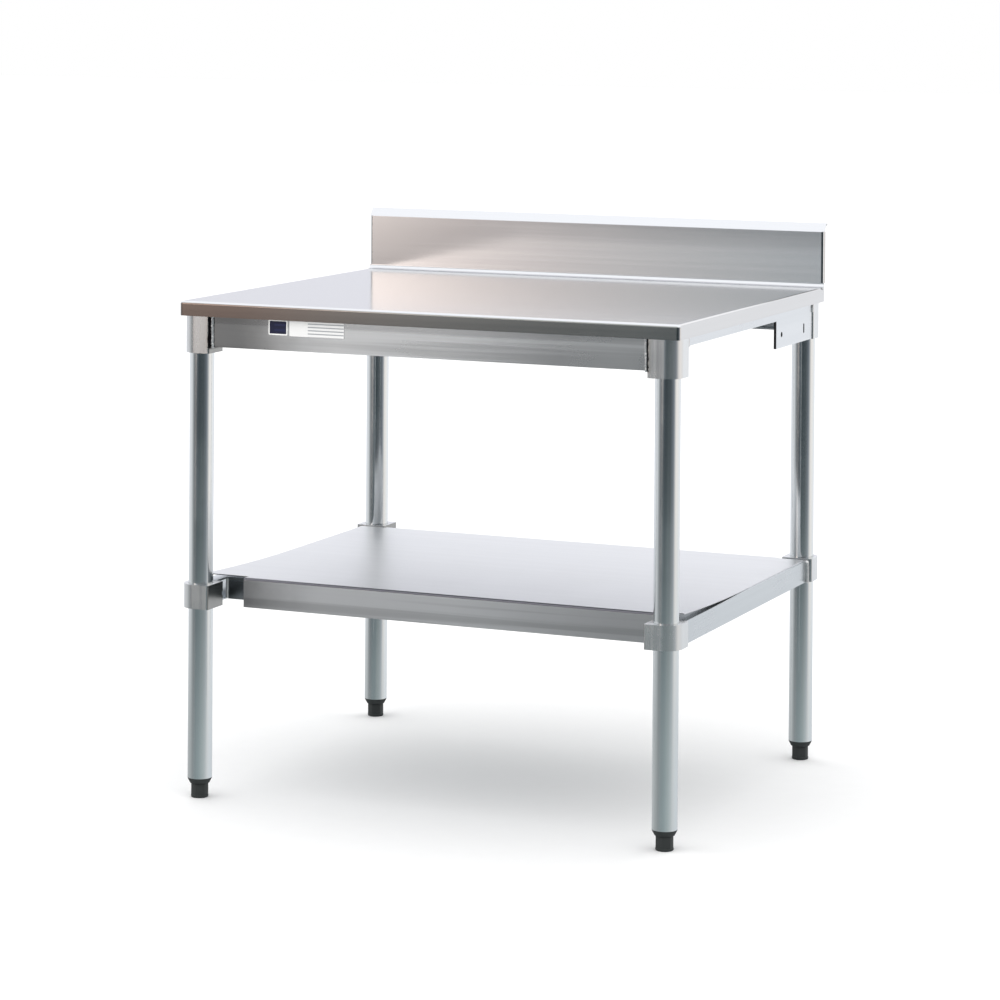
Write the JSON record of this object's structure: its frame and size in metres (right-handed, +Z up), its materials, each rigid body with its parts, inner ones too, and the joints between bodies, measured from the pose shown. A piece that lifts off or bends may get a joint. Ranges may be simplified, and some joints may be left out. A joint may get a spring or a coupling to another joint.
{
  "type": "work table",
  "caption": "Free-standing kitchen work table: folded stainless top with an upstand, aluminium tube legs in corner sockets, height-adjustable undershelf and screw-in levelling feet.",
  "frame": {"origin": "on the floor, under the middle of the table's overall width and depth", "axes": "+X to the right, +Y to the back where the upstand is, +Z up"},
  "size_m": [0.9144, 0.7804, 0.9736],
  "materials": {
    "stainless_sheet": "fine brushed stainless steel",
    "galvanised_sheet": "galvanised sheet",
    "plated_steel": "zinc plated",
    "black_steel": "black oxide",
    "rail_aluminium": "mill finish, lengthways drawing lines",
    "tube_aluminium": "mill finish tube",
    "socket_aluminium": "extruded block, lightly tumbled",
    "shelf_aluminium": "mill finish sheet",
    "weld_aluminium": "rippled weld",
    "black_plastic": "moulded black plastic",
    "blue_label": "printed sticker, blank",
    "white_label": "printed sticker, blank"
  },
  "bodies": {
    "frame": {"worktop": "stainless_sheet", "worktop_stiffener": "galvanised_sheet", "worktop_studs": "plated_steel", "worktop_nuts": "plated_steel", "front_rail": "rail_aluminium", "rear_rail": "rail_aluminium", "left_side_rail": "rail_aluminium", "right_side_rail": "rail_aluminium", "left_side_plate": "rail_aluminium", "right_side_plate": "rail_aluminium", "socket_set_screws": "black_steel", "frame_weld_beads": "weld_aluminium", "square_label": "blue_label", "long_label": "white_label", "socket_front_left": "socket_aluminium", "socket_front_right": "socket_aluminium", "socket_rear_left": "socket_aluminium", "socket_rear_right": "socket_aluminium", "leg_front_left": "tube_aluminium", "leg_front_right": "tube_aluminium", "leg_rear_left": "tube_aluminium", "leg_rear_right": "tube_aluminium", "foot_insert_front_left": "black_plastic", "foot_insert_front_right": "black_plastic", "foot_insert_rear_left": "black_plastic", "foot_insert_rear_right": "black_plastic"},
    "undershelf": {"shelf_sheet": "shelf_aluminium", "shelf_stiffener": "rail_aluminium", "left_shelf_rail": "rail_aluminium", "right_shelf_rail": "rail_aluminium", "front_cross_rail": "rail_aluminium", "rear_cross_rail": "rail_aluminium", "collar_set_screws": "black_steel", "shelf_weld_beads": "weld_aluminium", "collar_front_left": "socket_aluminium", "collar_front_right": "socket_aluminium", "collar_rear_left": "socket_aluminium", "collar_rear_right": "socket_aluminium"},
    "front_left_stem": {"foot_stem_front_left": "plated_steel"},
    "front_left_foot": {"foot_front_left": "black_plastic"},
    "front_right_stem": {"foot_stem_front_right": "plated_steel"},
    "front_right_foot": {"foot_front_right": "black_plastic"},
    "rear_left_stem": {"foot_stem_rear_left": "plated_steel"},
    "rear_left_foot": {"foot_rear_left": "black_plastic"},
    "rear_right_stem": {"foot_stem_rear_right": "plated_steel"},
    "rear_right_foot": {"foot_rear_right": "black_plastic"}
  },
  "joints": [
    {"name": "undershelf_height", "type": "slide", "parent": "frame", "child": "undershelf", "axis": [0, 0, 1], "range_m": [-0.28, 0.39]},
    {"name": "front_left_foot_height", "type": "slide", "parent": "frame", "child": "front_left_stem", "axis": [0, 0, -1], "range_m": [0, 0.025]},
    {"name": "front_left_foot_turn", "type": "hinge", "parent": "front_left_stem", "child": "front_left_foot", "pos_m": [-0.427, -0.36188, 0.012], "axis": [0, 0, -1], "range_deg": [0, 5143.89]},
    {"name": "front_right_foot_height", "type": "slide", "parent": "frame", "child": "front_right_stem", "axis": [0, 0, -1], "range_m": [0, 0.025]},
    {"name": "front_right_foot_turn", "type": "hinge", "parent": "front_right_stem", "child": "front_right_foot", "pos_m": [0.427, -0.36188, 0.012], "axis": [0, 0, -1], "range_deg": [0, 5143.89]},
    {"name": "rear_left_foot_height", "type": "slide", "parent": "frame", "child": "rear_left_stem", "axis": [0, 0, -1], "range_m": [0, 0.025]},
    {"name": "rear_left_foot_turn", "type": "hinge", "parent": "rear_left_stem", "child": "rear_left_foot", "pos_m": [-0.427, 0.34612, 0.012], "axis": [0, 0, -1], "range_deg": [0, 5143.89]},
    {"name": "rear_right_foot_height", "type": "slide", "parent": "frame", "child": "rear_right_stem", "axis": [0, 0, -1], "range_m": [0, 0.025]},
    {"name": "rear_right_foot_turn", "type": "hinge", "parent": "rear_right_stem", "child": "rear_right_foot", "pos_m": [0.427, 0.34612, 0.012], "axis": [0, 0, -1], "range_deg": [0, 5143.89]}
  ],
  "couplings": [
    {"joint": "front_left_foot_turn", "follows": "front_left_foot_height", "rad_per_m": 3590.4},
    {"joint": "front_right_foot_turn", "follows": "front_right_foot_height", "rad_per_m": 3590.4},
    {"joint": "rear_left_foot_turn", "follows": "rear_left_foot_height", "rad_per_m": 3590.4},
    {"joint": "rear_right_foot_turn", "follows": "rear_right_foot_height", "rad_per_m": 3590.4}
  ]
}
